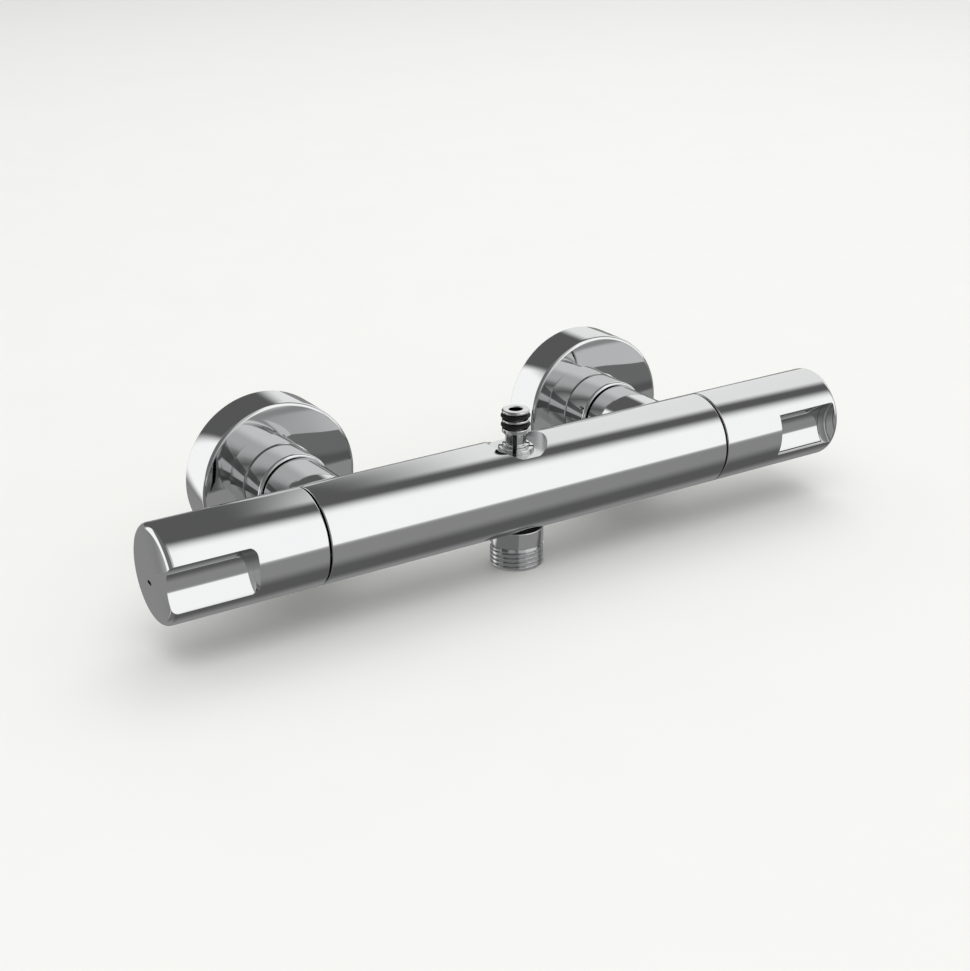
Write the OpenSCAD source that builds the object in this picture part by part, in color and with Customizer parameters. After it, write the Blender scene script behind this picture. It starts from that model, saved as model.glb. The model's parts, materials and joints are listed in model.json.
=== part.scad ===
// Exposed thermostatic shower valve: a round bar between two wall unions, with a flow handle on
// the left, a temperature handle on the right, a hose outlet below and a riser spigot on top.
// Millimetres. +X runs along the bar towards the temperature handle, +Y towards the wall, +Z up.
// The origin lies on the finished wall, midway between the two inlets, level with the bar's axis.

/* [Bar] */
// Diameter of the bar and of both handles
bar_d = 37; // [36:0.5:42]
// Overall length from handle end to handle end
bar_length = 300; // [298:1:330]
// Distance from the middle to each handle seam
seam_x = 90; // [90:0.5:94]
// Width of the shadow gap at each seam
seam_gap = 0.8; // [0.5:0.1:1.2]
// Rounding of the edges beside the seams
seam_round = 0.5; // [0.2:0.1:1]
// Rounding of the outer edge of each handle's end face
end_round = 2.2; // [1:0.1:4]

/* [Wall connection] */
// Distance between the two inlets
inlet_centres = 150; // [146:1:152]
// Distance from the finished wall to the bar's axis
wall_distance = 69.5; // [68:0.5:80]
// Diameter of the two necks on the bar
neck_d = 29; // [28.6:0.1:29.1]
// Distance from the bar's axis to a neck's end face
neck_reach = 38.2; // [36:0.2:40]
// Radius of the rounded inside corner at the foot of each neck
neck_sweep = 8; // [3:0.5:8]
// Wall of the round union nuts outside their thread
nut_wall = 2.48; // [2:0.02:4]
// Shadow gap between a neck and its union nut
nut_gap = 1.1; // [0.6:0.1:2]
// Rounding of a union nut's front rim
nut_round = 1.2; // [0.5:0.1:2]
// Depth of the six hidden spanner flats at the back of a union nut
nut_flat_depth = 0.95; // [0.5:0.05:1.2]
// Diameter of the wall rosettes
rosette_d = 65; // [60:1:75]
// Depth of a rosette from the wall to its front face
rosette_depth = 17; // [14:0.5:19]
// Sheet thickness of a rosette
rosette_wall = 1.6; // [1:0.1:2.5]
// Rounding of a rosette's front rim
rosette_round = 1.5; // [0.8:0.1:3]
// Offset of the eccentric unions between the wall thread and the nut thread
union_offset = 12.5; // [5:0.5:14]
// Length of the wall thread on an eccentric union
wall_thread_length = 20; // [15:1:30]

/* [Outlets] */
// Distance from the bar's axis to the tip of the hose outlet
outlet_reach = 32.5; // [31:0.5:40]
// Length of the hose thread
hose_thread_length = 7.8; // [7:0.1:9]
// Distance from the bar's axis to the top of the riser spigot
spigot_reach = 30.8; // [30:0.2:36]
// Diameter of the riser spigot's sealing lands
spigot_d = 10.6; // [10:0.1:11.4]
// Diameter of the water bore in the riser spigot
spigot_bore_d = 5.3; // [4:0.1:6]
// Diameter of the spot face that the riser spigot stands in
spotface_d = 24; // [20:0.5:25]
// Height of the spot face's floor above the bar's axis
spotface_floor = 14.5; // [14:0.1:15.5]

/* [Handles] */
// Radius of the finger scoop's hollow
scoop_r = 11.9; // [10:0.1:14]
// Depth of the finger scoop below the handle's surface
scoop_depth = 6; // [5:0.1:6.5]
// Share of the flow handle's length that its scoop takes
scoop_share = 0.542; // [0.45:0.002:0.56]
// Rounding of the scoop's inner end on the flow handle
scoop_round = 2.5; // [1:0.1:4]
// Share of the temperature handle's length that its finger pocket takes
pocket_share = 0.4866; // [0.42:0.0002:0.5]
// Land between the pocket and the temperature handle's end face
pocket_land = 2.2; // [2:0.1:3]
// Rounding of the pocket's outer end
pocket_round = 1; // [0.5:0.1:1.5]
// Room that the pocket leaves beyond the safety button
button_room = 4.6; // [4.2:0.1:6]
// Width of the safety button as a share of the scoop's diameter
button_share = 0.6555; // [0.5:0.0005:0.66]
// How far the safety button travels inwards
button_travel = 2; // [1.5:0.1:2.2]
// Gap around the safety button
button_gap = 0.3; // [0.25:0.05:0.5]

/* [Cartridges] */
// Diameter of the thermostat chamber in the bar
thermo_chamber_d = 29; // [28.6:0.1:29.4]
// Length of the thermostat chamber
thermo_chamber_length = 49.6; // [49:0.2:53]
// Diameter of the flow cartridge chamber in the bar
flow_chamber_d = 23; // [22.4:0.1:23.4]
// Length of the flow cartridge chamber
flow_chamber_length = 41.6; // [41:0.2:46]
// Diameter of the two spindles
spindle_d = 8; // [7:0.1:8.4]
// Diameter of the splined spindle ends
spline_d = 7.2; // [6:0.1:7.4]
// Travel of the check valve poppets
poppet_travel = 3; // [2:0.1:3.4]

/* [Fits] */
// Radial clearance between pieces that are screwed or pushed together
seat_fit = 0.05; // [0.02:0.01:0.12]
// Radial clearance of shafts and pistons that turn or slide
run_fit = 0.08; // [0.04:0.01:0.1]
// Radial clearance between covers and what they slide on
cover_fit = 0.3; // [0.2:0.05:0.5]

/* [Hidden] */

$fn = 96;
eps = 0.01;

bar_r = bar_d / 2;
half_length = bar_length / 2;
inlet_x = inlet_centres / 2;
body_end = seam_x - seam_gap / 2;
handle_start = seam_x + seam_gap / 2;
neck_r = neck_d / 2;

// Pipe threads are drawn as plain cylinders at their major radius
g_half_r = 20.955 / 2;
g_three_quarter_r = 26.441 / 2;

// Places along a neck, measured from the bar's axis towards the wall
union_reach = 15;
washer_t = 2;
nipple_flange_t = 2.5;
nut_setback = 9.5;
nut_start = neck_reach + nut_gap;
nut_end = wall_distance - nut_setback;
seal_y = wall_distance - union_reach;
nipple_end = seal_y - washer_t;
nut_slack = 0.1;
nut_shoulder = nipple_end - nipple_flange_t - nut_slack;
nut_hex_length = 5;
nipple_sleeve_r = 11.2;
nipple_flange_r = 12.2;
nipple_thread_r = 9;
nipple_thread_length = 12;
nipple_bore_r = 7.5;
nipple_hex = 7.9;
filter_rim_r = 9;
nipple_seat_y = neck_reach - nipple_thread_length - 0.3;
inlet_bore_r = nipple_thread_r + seat_fit;
inlet_way_r = 5.2;
union_bore_r = 8;
union_block_r = 12.5;
union_block_t = 7;
union_low_wall = 1.2;
union_low_r = g_half_r + union_low_wall;
nut_bore_r = g_three_quarter_r + seat_fit;
nut_r = nut_bore_r + nut_wall;
rosette_r = rosette_d / 2;
rosette_hole_r = nut_r + cover_fit;
// The wall seal lies behind the union's block, around its wall thread
gasket_t = 1;
gasket_r = rosette_r - rosette_wall - seat_fit;
gasket_w = 2.2;
union_block_end = wall_distance - gasket_t - 0.2;

// Check valve, placed from the nipple's end
cage_r = nipple_bore_r - seat_fit;
cage_length = 10;
cage_end = nipple_end - 2.5;
cage_start = cage_end - cage_length;
cage_wall = 1.2;
cage_web_t = 1.5;
poppet_r = 5.6;
poppet_t = 1.9;
poppet_stem_r = 1.2;
check_wire_r = 0.35;

// Water ways drilled in the bar
hot_way_r = 2.1;
hot_way_turns = [-20, 0, 20];
mixed_way_r = 3.8;
branch_way_r = 2.4;
branch_way_z = 7.2;
hot_way_radius = bar_r - 1.5 - hot_way_r;

// Thermostat, placed from the bar's end
thermo_r = thermo_chamber_d / 2;
thermo_in = body_end - thermo_chamber_length;
nose_r = 12;
nose_end = thermo_in + 5;
nose_bore_r = 8.6;
thermo_housing_r = thermo_r - seat_fit;
thermo_housing_start = thermo_in + 0.2;
thermo_nut_depth = 6;
thermo_housing_end = body_end - thermo_nut_depth;
thermo_floor_t = 2.8;
thermo_exit_r = 5.6;
piston_bore_r = 11;
piston_r = piston_bore_r - run_fit;
window_w = 4;
window_h = 8;
hot_window_at = 7.5;
hot_window_x = thermo_in + hot_window_at;
piston_start = hot_window_x + window_w / 2;
piston_length = 15;
piston_wall = 1.4;
piston_web_at = 5;
piston_web = piston_start + piston_web_at;
piston_web_t = 2;
cold_window_x = piston_start + piston_length - window_w / 2;
annulus_depth = 1.6;
cold_annulus_end = inlet_x + inlet_way_r + 0.2;
wax_r = 5.2;
wax_lead = 4;
wax_start = piston_start - wax_lead;
wax_length = 15;
wax_pin_r = 1.5;
wax_pin_length = 7.4;
push_nut_start = wax_start + wax_length + wax_pin_length - 1.6;
push_nut_end = thermo_housing_end - 3.2;
push_nut_r = 9;
push_key_w = 3;
push_well_r = 5;
push_well_depth = 7;
push_floor_t = 1.2;
plunger_start = push_nut_start + 1.6;
plunger_t = 1.5;
snap_ring_t = 0.7;
spindle_r = spindle_d / 2;
spline_r = spline_d / 2;
spindle_collar_r = 6.5;
spindle_collar_t = 1.6;
handle_length = half_length - handle_start;
nut_neck_end = handle_start + 0.1107 * handle_length;
nut_neck_r = 12;
nut_neck_wall = 3.5;
stop_ring_start = handle_start + 0.8;
stop_ring_end = nut_neck_end + 0.2;
stop_ring_r = nut_neck_r + 3.2;
stop_tooth_length = 3.4;
stop_tooth_w = 3;
stop_tooth_turn = 22;
stop_splines = 12;
return_wire_r = 0.7;
overload_wire_r = 0.45;

// Flow cartridge, placed from the bar's end
flow_r = flow_chamber_d / 2;
flow_in = body_end - flow_chamber_length;
flow_housing_r = flow_r - seat_fit;
disc_r = 9.7;
disc_t = 3;
seal_t = 2;
disc_gap = 0.05;
fixed_disc_start = flow_in + seal_t;
moving_disc_start = fixed_disc_start + disc_t + disc_gap;
driver_start = moving_disc_start + disc_t + disc_gap;
driver_t = 2.2;
driver_lug = 1.2;
driver_lug_z = 6;
flow_flange_r = 13;
flow_flange_t = 5.8;
flow_neck_r = 9;
port_turns = [90, -90];

// Handles
handle_wall = 1.8;
web_x = handle_start + 0.3624 * handle_length;
insert_r = 5.4;
insert_flange_r = 6.5;
insert_start = web_x - 0.2013 * handle_length;
insert_end = web_x + 5.2;
spindle_end = insert_end - 0.6;
spline_start = insert_start - 0.8;
splines = 16;
grub_r = 2;
grub_x = web_x + 3;
grub_length = 10;
grub_hex = 2;
scoop_axis = bar_r - scoop_depth + scoop_r;
pocket_end = half_length - pocket_land;
pocket_start = pocket_end - pocket_share * handle_length;
button_start = pocket_start + 2 * button_gap;
button_end = pocket_end - button_room;
button_half = button_share * scoop_r;
button_t = 3.9;
button_back = scoop_axis - scoop_r - button_t;
button_ledge = 0.8;
button_ledge_t = 1.2;
pocket_floor = button_back - button_travel - 0.4;
pawl_w = 4;
pawl_t = 1.8;
pawl_outer = button_back + button_ledge_t + 1.1;
pawl_tip = stop_ring_end + 1.2;
stop_tooth_in = sqrt(pow(pawl_outer, 2) + pow(pawl_w / 2, 2)) + 0.3;
button_spring_x = (button_start + button_end) / 2;
button_spring_r = 2.2;
button_wire_r = 0.35;
button_spring_seat = 1.4;
button_spring_depth = 4.2;
dot_r = 0.75;
dot_depth = 1;
dot_y = 3.5;
dot_z = -4.2;

// Spigot and hose outlet, measured from the bar's axis
spigot_r = spigot_d / 2;
spigot_flange_r = 6.9;
spigot_flange_t = 1.4;
spigot_collar_t = 1.2;
spigot_neck_r = 4;
spigot_head_length = 9;
spigot_neck_top = spigot_reach - spigot_head_length;
spigot_top_land = 1.3;
spigot_groove_w = 2.4;
spigot_mid_land = 1.2;
spigot_groove_r = 4.3;
spigot_shank_r = 5;
spigot_shank_depth = 5.3;
spigot_ring_wire = 0.95;
outlet_collar_r = 10.5;
outlet_floor = 17;
outlet_shank_r = 8;
outlet_shank_length = 8;
outlet_bore_r = 5.5;
outlet_hex = 12;
outlet_hex_depth = 5;
outlet_undercut = 1;
outlet_ring_wire = 0.9;

// Moves children from the bar's axis frame to the wall frame
module on_bar() translate([0, -wall_distance, 0]) children();
module along_x(x) translate([x, 0, 0]) rotate([0, 90, 0]) children();
module along_y(y) translate([0, y, 0]) rotate([-90, 0, 0]) children();
module at_inlet(side) on_bar() translate([side * inlet_x, 0, 0]) children();
module left_side() mirror([1, 0, 0]) children();

module ring(outer, inner, h) {
    difference() {
        cylinder(r = outer, h = h);
        translate([0, 0, -1]) cylinder(r = inner, h = h + 2);
    }
}

// What a rounded corner takes away, the corner lying at the origin and pointing to +X, +Y
module corner_waste(e) {
    difference() {
        translate([-e, -e]) square(e + 1);
        translate([-e, -e]) circle(e);
    }
}

// A cylinder along Z with rounded edges at its bottom and top
module drum(r, h, low = 0, high = 0) {
    rotate_extrude() difference() {
        square([r, h]);
        if (high > 0) translate([r, h]) corner_waste(high);
        if (low > 0) translate([r, 0]) mirror([0, 1]) corner_waste(low);
    }
}

// An O-ring lying around Z, filling its groove from inner to outer radius
module o_ring(outer, wire) rotate_extrude() translate([outer - wire, 0]) circle(wire);

// Points of one ring of a coil's wire at turn angle a and height z
function coil_ring(r, wire, a, z, rise, sides) = [
    for (k = [0 : sides - 1])
        let (
            q = 360 * k / sides,
            out = [cos(a), sin(a), 0],
            up = [sin(a) * sin(rise), -cos(a) * sin(rise), cos(rise)]
        )
        [r * cos(a), r * sin(a), z] + wire * (cos(q) * out + sin(q) * up)
];

// A compression spring along Z from z = 0 to z = h
module coil_spring(r, wire, h, turns, sides = 6, per_turn = 14) {
    n = round(turns * per_turn);
    rise = atan((h - 2 * wire) / (turns * 2 * PI * r));
    rings = [
        for (i = [0 : n])
            coil_ring(r, wire, 360 * turns * i / n, wire + (h - 2 * wire) * i / n, rise, sides)
    ];
    points = [for (one = rings) for (p = one) p];
    walls = [
        for (i = [0 : n - 1]) for (k = [0 : sides - 1])
            let (a = i * sides + k, b = i * sides + (k + 1) % sides)
                for (f = [[a, a + sides, b + sides], [a, b + sides, b]]) f
    ];
    start_cap = [for (k = [1 : sides - 2]) [0, k, k + 1]];
    end_cap = [for (k = [1 : sides - 2]) [n * sides, n * sides + k + 1, n * sides + k]];
    polyhedron(points, concat(walls, start_cap, end_cap), convexity = 6);
}

// Where a ball of radius neck_sweep rests against both the bar and a neck, at turn t about the neck
function ball_centre(t) =
    let (reach = neck_r + neck_sweep)
    [reach * cos(t), sqrt(pow(bar_r + neck_sweep, 2) - pow(reach * sin(t), 2)), reach * sin(t)];

// One section of the solid fillet: the ball's trace from the neck to the bar, closed inside both
function fillet_section(t, steps) =
    let (
        c = ball_centre(t),
        at_neck = [neck_r * cos(t), c[1], neck_r * sin(t)],
        k = bar_r / (bar_r + neck_sweep),
        at_bar = [c[0], c[1] * k, c[2] * k],
        u = (at_neck - c) / neck_sweep,
        v = (at_bar - c) / neck_sweep,
        open_by = acos(u * v),
        sunk = 0.15,
        inner = neck_r - 2
    )
    concat(
        [at_neck - sunk * [cos(t), 0, sin(t)]],
        [for (i = [1 : steps - 1]) c + neck_sweep
            * (sin(open_by * (1 - i / steps)) * u + sin(open_by * i / steps) * v) / sin(open_by)],
        [at_bar + sunk * v, [inner * cos(t), bar_r / 3, inner * sin(t)], [inner * cos(t), c[1], inner * sin(t)]]
    );

// The rounded inside corner all around the foot of a neck
module neck_fillet(steps = 7, turns = 60) {
    m = steps + 3;
    points = [for (i = [0 : turns - 1]) for (p = fillet_section(360 * i / turns, steps)) p];
    quads = [for (i = [0 : turns - 1]) for (k = [0 : m - 1])
        let (a = i * m, b = (i + 1) % turns * m, n = (k + 1) % m) [a + k, a + n, b + n, b + k]];
    faces = [for (q = quads) for (f = [[q[0], q[1], q[2]], [q[0], q[2], q[3]]]) f];
    polyhedron(points, faces, convexity = 6);
}

module neck() {
    along_y(0) cylinder(r = neck_r, h = neck_reach);
    neck_fillet();
}

// The cast brass bar with its two necks, chambers, water ways and outlet seats
module valve_body() {
    color("gainsboro") on_bar() difference() {
        union() {
            along_x(-body_end) drum(bar_r, 2 * body_end, seam_round, seam_round);
            intersection() {
                for (side = [-1, 1]) translate([side * inlet_x, 0, 0]) neck();
                translate([-body_end, 0, -bar_r]) cube([2 * body_end, neck_reach + 1, bar_d]);
            }
        }
        along_x(nose_end) cylinder(r = thermo_r, h = thermo_chamber_length);
        along_x(thermo_in) cylinder(r = nose_r, h = thermo_chamber_length);
        left_side() along_x(flow_in) cylinder(r = flow_r, h = flow_chamber_length + 1);
        left_side() along_x(body_end - flow_flange_t)
            cylinder(r = flow_flange_r + seat_fit, h = flow_flange_t + 1);
        // Hot inlet stops above the flow chamber, cold inlet opens into the thermostat chamber
        translate([-inlet_x, 0, 0]) along_y(flow_r + 1.1) cylinder(r = inlet_way_r, h = neck_reach);
        translate([inlet_x, 0, 0]) along_y(thermo_r / 2) cylinder(r = inlet_way_r, h = neck_reach);
        for (side = [-1, 1]) translate([side * inlet_x, 0, 0]) along_y(nipple_seat_y)
            cylinder(r = inlet_bore_r, h = neck_reach);
        for (turn = hot_way_turns) rotate([turn, 0, 0]) translate([-inlet_x, hot_way_radius, 0])
            along_x(0) cylinder(r = hot_way_r, h = inlet_x + hot_window_x + window_w);
        along_x(-flow_in - eps) cylinder(r = mixed_way_r, h = flow_in + thermo_in + 2 * eps);
        for (side = [-1, 1]) translate([-flow_in - eps, 0, side * branch_way_z])
            along_x(0) cylinder(r = branch_way_r, h = flow_in + branch_way_r);
        // Seats of the riser spigot and of the hose outlet
        translate([0, 0, spotface_floor]) cylinder(r = spotface_d / 2, h = bar_r);
        translate([0, 0, spotface_floor - spigot_shank_depth - 0.2])
            cylinder(r = spigot_shank_r + seat_fit, h = bar_r);
        translate([0, 0, branch_way_z]) cylinder(r = branch_way_r, h = bar_r);
        translate([0, 0, -bar_d]) cylinder(r = outlet_collar_r + 0.2, h = bar_d - outlet_floor);
        translate([0, 0, -bar_d])
            cylinder(r = outlet_shank_r + seat_fit, h = bar_d - outlet_floor + outlet_shank_length + 1);
    }
}

// Screwed hose outlet with an internal hexagon and a half inch male thread
module hose_outlet() {
    thread_top = hose_thread_length;
    collar_low = thread_top + outlet_undercut;
    collar_top = outlet_reach - outlet_floor;
    shank_top = collar_top + outlet_shank_length;
    chamfer = 0.7;
    color("silver") on_bar() translate([0, 0, -outlet_reach]) difference() {
        union() {
            cylinder(r1 = g_half_r - chamfer, r2 = g_half_r, h = chamfer);
            translate([0, 0, chamfer]) cylinder(r = g_half_r, h = thread_top - chamfer);
            cylinder(r = g_half_r - 1.1, h = collar_top);
            translate([0, 0, collar_low]) drum(outlet_collar_r, collar_top - collar_low, 0.4);
            cylinder(r = outlet_shank_r, h = shank_top);
        }
        translate([0, 0, -1]) cylinder(r = outlet_bore_r, h = shank_top + 2);
        translate([0, 0, -1]) cylinder(r = outlet_hex / 2 / cos(30), h = outlet_hex_depth + 1, $fn = 6);
        translate([0, 0, collar_top + outlet_shank_length / 2 - outlet_ring_wire - 0.1])
            ring(outlet_shank_r + 1, outlet_shank_r - 2 * outlet_ring_wire + 0.1, 2 * outlet_ring_wire + 0.2);
    }
}

module outlet_o_ring() {
    color("#202020") on_bar() translate([0, 0, outlet_shank_length / 2 - outlet_floor])
        o_ring(outlet_shank_r + seat_fit - eps, outlet_ring_wire - 0.1);
}

// Plug-in spigot for the riser pipe, with two seal grooves and a neck for the pipe's grub screw
module riser_spigot() {
    flange_top = spotface_floor + spigot_flange_t;
    collar_top = flange_top + spigot_collar_t;
    taper = spigot_r - spigot_neck_r;
    color("silver") on_bar() difference() {
        union() {
            translate([0, 0, spotface_floor - spigot_shank_depth])
                cylinder(r = spigot_shank_r, h = spigot_shank_depth);
            translate([0, 0, spotface_floor]) drum(spigot_flange_r, spigot_flange_t, 0, 0.4);
            translate([0, 0, spotface_floor]) drum(spigot_r, collar_top - spotface_floor, 0, 0.3);
            translate([0, 0, spotface_floor]) cylinder(r = spigot_neck_r, h = spigot_neck_top - spotface_floor);
            translate([0, 0, spigot_neck_top - taper]) cylinder(r1 = spigot_neck_r, r2 = spigot_r, h = taper);
            translate([0, 0, spigot_neck_top]) drum(spigot_r, spigot_reach - spigot_neck_top, 0, 0.5);
        }
        translate([0, 0, -bar_r]) cylinder(r = spigot_bore_d / 2, h = spigot_reach + bar_r + 1);
        for (z = spigot_groove_tops()) translate([0, 0, z - spigot_groove_w])
            ring(spigot_r + 2, spigot_groove_r, spigot_groove_w);
        for (turn = [52 : 90 : 322]) rotate([0, 0, turn])
            translate([spigot_neck_r + 0.5, -0.75, spotface_floor - 0.3]) cube([4, 1.5, collar_top - spotface_floor + 0.4]);
    }
}

function spigot_groove_tops() = [
    spigot_reach - spigot_top_land,
    spigot_reach - spigot_top_land - spigot_groove_w - spigot_mid_land,
];

module spigot_o_rings() {
    color("#151515") on_bar() for (z = spigot_groove_tops()) translate([0, 0, z - spigot_groove_w / 2])
        o_ring(spigot_groove_r + 0.02 + 2 * spigot_ring_wire * 0.74, spigot_ring_wire * 0.74);
}

// Screwed nipple that carries the union nut and holds the check valve
module inlet_nipple(side) {
    hex_depth = 2.4;
    color("silver") at_inlet(side) difference() {
        union() {
            along_y(neck_reach - nipple_thread_length)
                cylinder(r = nipple_thread_r, h = nipple_thread_length + 1);
            along_y(neck_reach) cylinder(r = nipple_sleeve_r, h = nipple_end - neck_reach);
            along_y(nipple_end - nipple_flange_t) drum(nipple_flange_r, nipple_flange_t, 0, 0.4);
        }
        along_y(neck_reach - nipple_thread_length - 1)
            cylinder(r = nipple_bore_r, h = nipple_end - neck_reach + nipple_thread_length + 2);
        along_y(nipple_end - hex_depth) cylinder(r = nipple_hex / cos(30), h = hex_depth + 1, $fn = 6);
    }
}

// Round union nut; its spanner hexagon hides behind the rosette's face
module union_nut(side) {
    length = nut_end - nut_start;
    flat_r = nut_r - nut_flat_depth;
    color("gainsboro") at_inlet(side) difference() {
        along_y(nut_start) drum(nut_r, length, nut_round, 0.4);
        along_y(nut_start - 1) cylinder(r = nipple_sleeve_r + 0.15, h = length + 2);
        along_y(nut_shoulder) cylinder(r = nut_bore_r, h = length);
        along_y(nut_end - nut_hex_length) difference() {
            cylinder(r = nut_r + 1, h = nut_hex_length + 1);
            translate([0, 0, -1]) cylinder(r = flat_r / cos(30), h = nut_hex_length + 3, $fn = 6);
        }
    }
}

// Outline of an eccentric union's block: two round ends joined by their sides
module union_block_outline() {
    circle(union_block_r);
    translate([0, union_offset]) circle(union_low_r);
    polygon([
        [-union_block_r, 0], [union_block_r, 0],
        [union_low_r, union_offset], [-union_low_r, union_offset],
    ]);
}

// Eccentric union: three quarter inch thread for the nut, half inch thread into the wall
module eccentric_union(side) {
    block_end = union_block_end;
    block_start = block_end - union_block_t;
    bore_r = 7.5;
    color("silver") at_inlet(side) difference() {
        union() {
            along_y(seal_y) drum(g_three_quarter_r, block_start - seal_y + 1, 0.6);
            along_y(block_start) linear_extrude(union_block_t) union_block_outline();
            translate([0, 0, -union_offset]) along_y(block_end)
                drum(g_half_r, wall_distance + wall_thread_length - block_end, 0, 0.7);
        }
        along_y(seal_y - 1) cylinder(r = union_bore_r, h = block_end - seal_y - 1);
        translate([0, 0, -union_offset]) along_y(block_start + 2)
            cylinder(r = bore_r, h = wall_distance + wall_thread_length);
    }
}

module union_washers() {
    color("#303030") for (side = [-1, 1]) at_inlet(side)
        along_y(nipple_end) ring(nipple_flange_r, filter_rim_r + seat_fit, washer_t);
}

// Dirt filter: a slotted cup whose rim lies inside the washer
module inlet_filter(side) {
    rim_t = washer_t - 0.1;
    cup_r = 7.2;
    cup_length = 5.5;
    wall = 0.7;
    color("white") at_inlet(side) along_y(nipple_end) difference() {
        union() {
            cylinder(r = filter_rim_r, h = rim_t);
            cylinder(r = cup_r, h = rim_t + cup_length);
        }
        translate([0, 0, -1]) cylinder(r = cup_r - wall, h = rim_t + cup_length - wall + 1);
        for (turn = [0 : 45 : 135]) rotate([0, 0, turn])
            translate([-cup_r - 1, -1.1, rim_t + 0.9]) cube([2 * cup_r + 2, 2.2, cup_length - wall - 1.2]);
    }
}

module check_valve_cage(side) {
    room = cage_length - cage_web_t - 1.5;
    color("ivory") at_inlet(side) along_y(cage_start) difference() {
        cylinder(r = cage_r, h = cage_length);
        translate([0, 0, cage_web_t]) cylinder(r = cage_r - cage_wall, h = room);
        translate([0, 0, -1]) cylinder(r = poppet_stem_r + run_fit, h = cage_length);
        translate([0, 0, cage_length - 2]) cylinder(r = poppet_r - 1.2, h = 3);
        for (turn = [45 : 90 : 315]) rotate([0, 0, turn])
            translate([4.3, 0, -1]) cylinder(r = 1.6, h = cage_web_t + 2);
    }
}

module check_valve_poppet(side) {
    closed = cage_end - 1.5 - disc_gap;
    stem_end = cage_start - 0.8;
    color("orange") at_inlet(side) {
        along_y(closed - poppet_t) drum(poppet_r, poppet_t, 0.3, 0.5);
        along_y(stem_end) cylinder(r = poppet_stem_r, h = closed - poppet_t - stem_end + eps);
    }
}

module check_valve_spring(side) {
    low = cage_start + cage_web_t;
    high = cage_end - 1.5 - poppet_t - disc_gap;
    color("lightsteelblue") at_inlet(side) along_y(low + disc_gap)
        coil_spring(2.6, check_wire_r, high - low - 2 * disc_gap, 4.5);
}

// Turned and drawn wall rosette, open at the back, that slides on the union nut
module rosette(side) {
    front = wall_distance - rosette_depth;
    cavity_r = rosette_r - rosette_wall;
    color("gainsboro") at_inlet(side) along_y(front) difference() {
        drum(rosette_r, rosette_depth, rosette_round, 0.3);
        translate([0, 0, -1]) cylinder(r = rosette_hole_r, h = rosette_depth + 2);
        translate([0, 0, rosette_wall]) drum(cavity_r, rosette_depth, rosette_round);
    }
}

module rosette_gasket(side) {
    color("#202020") at_inlet(side) along_y(wall_distance - gasket_t)
        ring(gasket_r, gasket_r - gasket_w, gasket_t);
}

// A handle's outer form before its scoop is cut, along X from its seam
module handle_blank() {
    hollow_r = bar_r - handle_wall;
    difference() {
        along_x(handle_start) drum(bar_r, half_length - handle_start, seam_round, end_round);
        along_x(handle_start - 1) cylinder(r = hollow_r, h = web_x - handle_start + 1);
        along_x(web_x - 1) cylinder(r = insert_r + seat_fit, h = insert_end - web_x + 1.1);
        translate([grub_x, 0, -bar_r - 1]) cylinder(r = grub_r + seat_fit, h = bar_r + 1);
    }
}

// The hollow that a ball-nosed cutter leaves along the handle's front
module finger_scoop(from, to, from_round, to_round) {
    translate([0, -scoop_axis, 0]) along_x(from) drum(scoop_r, to - from, from_round, to_round);
}

module flow_handle() {
    color("gainsboro") on_bar() left_side() difference() {
        handle_blank();
        finger_scoop(half_length - scoop_share * handle_length, half_length + 2, scoop_round, 0);
        translate([0, dot_y, dot_z]) along_x(half_length - dot_depth) cylinder(r = dot_r, h = 2);
    }
}

module temperature_handle() {
    window_half = button_half + button_gap;
    window_start = button_start - button_gap;
    window_length = button_end - button_start + 2 * button_gap;
    ledge_top = button_back + button_ledge_t + 0.3;
    color("gainsboro") on_bar() difference() {
        handle_blank();
        finger_scoop(pocket_start, pocket_end, 0, pocket_round);
        // Window that the button shows through, and the wider room for its ledge and travel
        translate([window_start, -scoop_axis, -window_half])
            cube([window_length, scoop_axis - pocket_floor, 2 * window_half]);
        translate([window_start - button_ledge, -ledge_top, -window_half])
            cube([window_length + 2 * button_ledge, ledge_top - pocket_floor, 2 * window_half]);
        translate([web_x - 1, -pawl_outer - 0.3, -pawl_w / 2 - 0.3])
            cube([window_start - web_x + 2, pawl_outer + 0.3 - pocket_floor, pawl_w + 0.6]);
        translate([button_spring_x, -pocket_floor - 1, 0]) along_y(0)
            cylinder(r = button_spring_r + 0.6, h = button_spring_depth + 1);
    }
}

// Push button that lets the handle past its comfort stop, scooped like the handle around it
module safety_button() {
    pawl_z = pawl_w / 2;
    color("gainsboro") on_bar() difference() {
        union() {
            translate([button_start, -scoop_axis, -button_half])
                cube([button_end - button_start, scoop_axis - button_back, 2 * button_half]);
            translate([button_start - button_ledge, -button_back - button_ledge_t, -button_half])
                cube([button_end - button_start + 2 * button_ledge, button_ledge_t, 2 * button_half]);
            translate([pawl_tip, -pawl_outer, -pawl_z])
                cube([button_start - pawl_tip + 1, pawl_t, pawl_w]);
        }
        finger_scoop(pocket_start - 1, pocket_end, 0, pocket_round);
        translate([button_spring_x, -button_back - button_spring_seat, 0]) along_y(0)
            cylinder(r = button_spring_r + 0.6, h = 3);
    }
}

module safety_button_spring() {
    low = -button_back - button_spring_seat + disc_gap;
    high = -pocket_floor - 1 + button_spring_depth + 1 - disc_gap;
    color("lightsteelblue") on_bar() translate([button_spring_x, 0, 0]) along_y(low)
        coil_spring(button_spring_r, button_wire_r, high - low, 6);
}

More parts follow.
